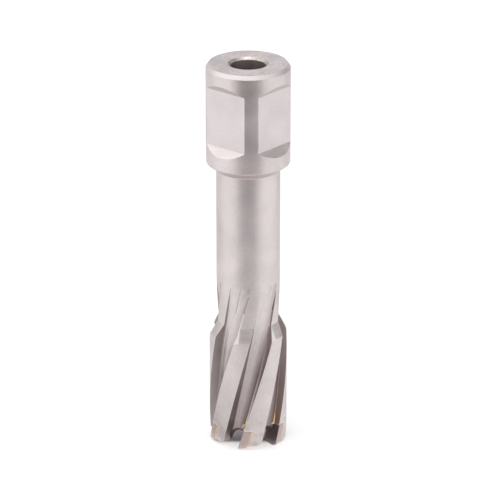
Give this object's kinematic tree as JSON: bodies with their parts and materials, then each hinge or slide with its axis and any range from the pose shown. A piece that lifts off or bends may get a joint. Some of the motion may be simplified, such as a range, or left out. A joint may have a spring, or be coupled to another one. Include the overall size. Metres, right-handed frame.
{
  "type": "annular cutter",
  "caption": "Hollow fluted hole cutter with brazed carbide teeth, a slim neck and a plain side-lock shank with clamping flats and a through bore for a pilot pin.",
  "frame": {"origin": "on the axis, in the plane of the tooth tips that the cutter stands on", "axes": "+Z along the axis, from the tooth tips to the shank's end; the clamping flats face -X and -Y"},
  "size_m": [0.019, 0.019, 0.0912],
  "materials": {
    "body_steel": "satin ground tool steel",
    "carbide": "ground hard metal",
    "braze": "golden brazing filler"
  },
  "bodies": {
    "root": {"body": "body_steel", "carbide_tip_1": "carbide", "carbide_tip_2": "carbide", "carbide_tip_3": "carbide", "carbide_tip_4": "carbide", "carbide_tip_5": "carbide", "carbide_tip_6": "carbide", "braze_seam_1": "braze", "braze_seam_2": "braze", "braze_seam_3": "braze", "braze_seam_4": "braze", "braze_seam_5": "braze", "braze_seam_6": "braze"}
  },
  "joints": []
}
